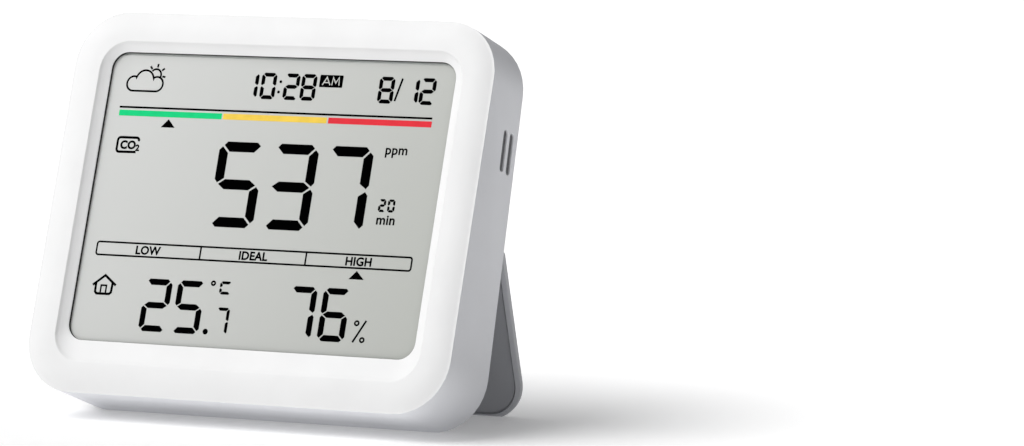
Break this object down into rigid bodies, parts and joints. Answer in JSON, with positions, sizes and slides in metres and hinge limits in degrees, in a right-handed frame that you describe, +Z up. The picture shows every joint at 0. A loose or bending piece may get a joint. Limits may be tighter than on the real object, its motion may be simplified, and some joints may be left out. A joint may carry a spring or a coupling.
{
  "type": "carbon dioxide monitor",
  "caption": "Desk air monitor with a large segment display, side vents and a fold-out stand carried by its battery door.",
  "frame": {"origin": "middle of the narrow flat on the housing's rear bottom edge, at the level of the table", "axes": "+X to the right as seen from the front, +Y to the back, +Z up; the face leans back 19.2 degrees about X"},
  "size_m": [0.094, 0.0434, 0.0792],
  "materials": {
    "cover_white": "fine satin",
    "housing_white": "fine satin",
    "stand_grey": "satin",
    "door_white": "fine satin",
    "button_white": "satin",
    "display_face": "anti-glare film",
    "display_glass": "polished",
    "reflector": "matt",
    "tape_black": "matt",
    "elastomer": "matt",
    "chassis_grey": "matt",
    "board_green": "solder mask",
    "chip_black": "moulded",
    "plated_steel": "nickel plated",
    "sensor_can": "satin",
    "cell_jacket": "printed film jacket",
    "mesh_black": "woven screen"
  },
  "bodies": {
    "root": {"front_cover": "cover_white", "rear_housing": "housing_white", "display_bezel_tape": "tape_black", "display_polariser": "display_face", "display_glass": "display_glass", "display_reflector": "reflector", "zebra_strip": "elastomer", "mid_frame": "chassis_grey", "main_board": "board_green", "co2_sensor": "sensor_can", "wireless_module": "sensor_can", "humidity_sensor": "chip_black", "buzzer": "chip_black", "usb_socket": "plated_steel", "refresh_switch": "plated_steel", "unit_switch": "plated_steel", "battery_upper": "cell_jacket", "battery_lower": "cell_jacket", "battery_contacts_left": "plated_steel", "battery_contacts_right": "plated_steel", "case_screws": "plated_steel", "board_screws": "plated_steel", "vent_screens": "mesh_black"},
    "battery_door": {"battery_door": "door_white", "hinge_pins": "plated_steel"},
    "stand": {"stand": "stand_grey"},
    "refresh_button": {"refresh_button": "button_white", "refresh_plunger": "chip_black"},
    "unit_button": {"unit_button": "button_white", "unit_plunger": "chip_black"}
  },
  "joints": [
    {"name": "door_pull", "type": "slide", "parent": "root", "child": "battery_door", "axis": [0, 0.9444, -0.3289], "range_m": [0, 0.025]},
    {"name": "stand_fold", "type": "hinge", "parent": "battery_door", "child": "stand", "pos_m": [0, 0.01527, 0.03249], "axis": [1, 0, 0], "range_deg": [-35.7, 0]},
    {"name": "refresh_press", "type": "slide", "parent": "root", "child": "refresh_button", "axis": [0, -0.3289, -0.9444], "range_m": [0, 0.0005], "stiffness_N_per_m": 1500},
    {"name": "unit_press", "type": "slide", "parent": "root", "child": "unit_button", "axis": [0, -0.9444, 0.3289], "range_m": [0, 0.0005], "stiffness_N_per_m": 1500}
  ]
}
